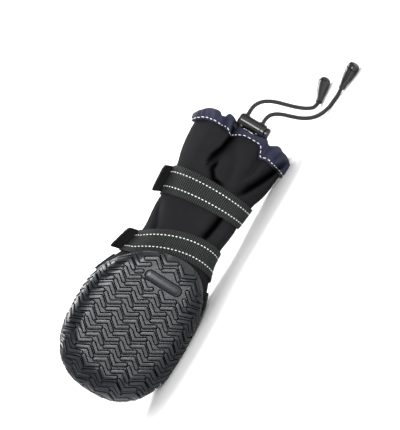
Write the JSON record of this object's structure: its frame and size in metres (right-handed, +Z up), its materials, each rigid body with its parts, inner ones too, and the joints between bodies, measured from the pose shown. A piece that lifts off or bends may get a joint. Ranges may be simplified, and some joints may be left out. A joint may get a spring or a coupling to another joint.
{
  "type": "dog boot",
  "caption": "Dog boot lying on its side: rubber cup sole with bent lugs, softshell upper with a slack shaft, webbing straps with hook-tape ends, and a gathered collar with drawcord and cord lock.",
  "frame": {"origin": "middle of the boot's underside as it lies on its side, on the floor, measured without the free cords and their ends", "axes": "+X from the toe to the collar, -Y the way the tread faces, +Z up from the floor"},
  "size_m": [0.3026, 0.0777, 0.0872],
  "materials": {
    "rubber": "moulded rubber, semi-matt",
    "softshell": "dark grey softshell, matt",
    "lining": "knitted lining, matt",
    "webbing": "ribbed webbing with reflective dashes",
    "hook_tape": "black hook tape",
    "navy_fabric": "navy soft fabric, matt",
    "cord": "braided round cord",
    "plastic": "glossy black"
  },
  "bodies": {
    "root": {"outsole": "rubber", "insole": "lining", "upper": "softshell", "instep_band": "webbing", "lower_strap": "webbing", "lower_strap_end": "hook_tape", "upper_strap": "webbing", "upper_strap_end": "hook_tape", "collar_tunnel": "navy_fabric", "drawcord": "cord", "lock_barrel": "plastic", "lock_plunger": "plastic", "cord_tail_1": "cord", "cord_tail_2": "cord", "cord_end_1": "plastic", "cord_end_2": "plastic", "end_cap_1": "plastic", "end_cap_2": "plastic"}
  },
  "joints": []
}
